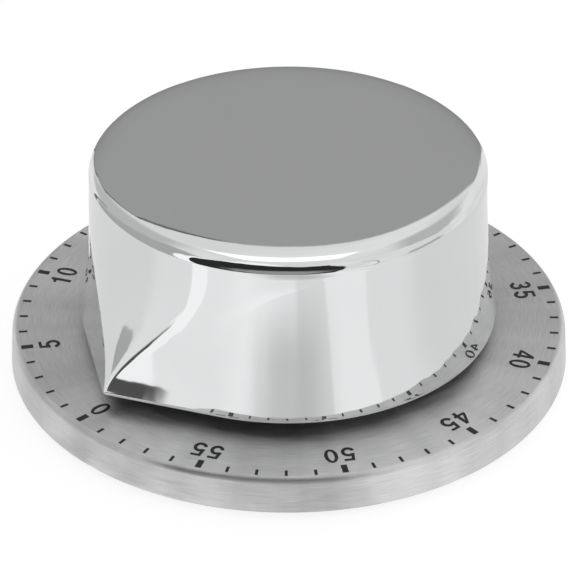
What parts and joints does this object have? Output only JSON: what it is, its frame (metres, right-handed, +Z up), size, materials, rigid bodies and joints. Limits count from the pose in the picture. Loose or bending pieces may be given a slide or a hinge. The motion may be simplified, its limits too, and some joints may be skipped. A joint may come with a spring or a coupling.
{
  "type": "kitchen timer",
  "caption": "Wind-up kitchen timer: a bright plated knob with one beak-shaped pointer turns over a round brushed-steel minute dial, with the clockwork, bell and hammer inside the knob.",
  "frame": {"origin": "centre of the rest plane under the feet, on the axis of the knob", "axes": "+Z up along the knob axis; -Y is the front, where the 0 mark is and where the beak points at rest; +X is to the right seen from the front"},
  "size_m": [0.078, 0.078, 0.0324],
  "materials": {
    "brushed_steel": "fine straight and turned brushing, clear of lacquer",
    "chrome": "mirror-bright plating",
    "black_plastic": "fine moulded texture",
    "rubber": "matt",
    "ink": "matt screen print",
    "zinc_steel": "bright zinc plating",
    "brass": "rolled and stamped",
    "ground_steel": "ground",
    "spring_steel": "blued",
    "bell_steel": "nickel plated"
  },
  "bodies": {
    "case": {"base_shell": "brushed_steel", "dial_print": "ink", "movement_case": "black_plastic", "bottom_cover": "black_plastic", "foot_pads": "rubber", "cover_screws": "zinc_steel", "bottom_plate": "brass", "top_plate": "brass", "plate_pillars": "brass", "pillar_nuts": "zinc_steel", "movement_screws": "zinc_steel", "stop_pin": "ground_steel", "mainspring": "spring_steel", "hairspring": "spring_steel", "hairspring_stud": "brass", "hammer_spring": "spring_steel", "bell": "bell_steel", "bell_post": "brass", "bell_nut": "zinc_steel"},
    "knob": {"knob": "chrome", "knob_hub": "black_plastic", "main_arbor": "ground_steel", "stop_arm": "ground_steel", "great_wheel": "brass", "ratchet_wheel": "ground_steel", "click_spring": "spring_steel", "alarm_cam": "brass"},
    "click": {"click": "ground_steel"},
    "second_wheel": {"second_arbor": "ground_steel", "second_wheel": "brass"},
    "third_wheel": {"third_arbor": "ground_steel", "third_wheel": "brass"},
    "escape_wheel": {"escape_arbor": "ground_steel", "escape_wheel": "brass"},
    "pallet_lever": {"pallet_lever": "brass", "pallet_arbor": "ground_steel", "pallet_pins": "ground_steel"},
    "balance": {"balance_staff": "ground_steel", "balance_wheel": "brass"},
    "hammer": {"hammer_arbor": "ground_steel", "hammer": "zinc_steel"}
  },
  "joints": [
    {"name": "knob_turn", "type": "hinge", "parent": "case", "child": "knob", "pos_m": [0, 0, 0.01], "axis": [0, 0, -1], "range_deg": [0, 348], "deforming": ["mainspring"]},
    {"name": "second_wheel_turn", "type": "hinge", "parent": "case", "child": "second_wheel", "pos_m": [-0.0124, 0.00451, 0.01], "axis": [0, 0, -1], "continuous": true},
    {"name": "third_wheel_turn", "type": "hinge", "parent": "case", "child": "third_wheel", "pos_m": [-0.01328, -0.00444, 0.01], "axis": [0, 0, -1], "continuous": true},
    {"name": "escape_wheel_turn", "type": "hinge", "parent": "case", "child": "escape_wheel", "pos_m": [-0.01015, -0.01172, 0.01], "axis": [0, 0, -1], "continuous": true},
    {"name": "lever_rock", "type": "hinge", "parent": "case", "child": "pallet_lever", "pos_m": [-0.00589, -0.01434, 0.01], "axis": [0, 0, 1], "range_deg": [-8, 8]},
    {"name": "balance_swing", "type": "hinge", "parent": "case", "child": "balance", "pos_m": [0.00001, -0.0142, 0.01], "axis": [0, 0, 1], "range_deg": [-200, 200], "stiffness_Nm_per_rad": 0.000003, "deforming": ["hairspring"]},
    {"name": "hammer_strike", "type": "hinge", "parent": "case", "child": "hammer", "pos_m": [0.0075, 0.01299, 0.01], "axis": [0, 0, 1], "range_deg": [0, 7], "stiffness_Nm_per_rad": 0.002, "springref_deg": 17.19, "deforming": ["hammer_spring"]},
    {"name": "click_lift", "type": "hinge", "parent": "knob", "child": "click", "pos_m": [0.0065, 0.0033, 0.006], "axis": [0, 0, 1], "range_deg": [0, 11], "stiffness_Nm_per_rad": 0.0005, "springref_deg": -2.86, "deforming": ["click_spring"]}
  ],
  "couplings": [
    {"joint": "second_wheel_turn", "follows": "knob_turn", "ratio": -9},
    {"joint": "third_wheel_turn", "follows": "knob_turn", "ratio": 72},
    {"joint": "escape_wheel_turn", "follows": "knob_turn", "ratio": -576}
  ]
}
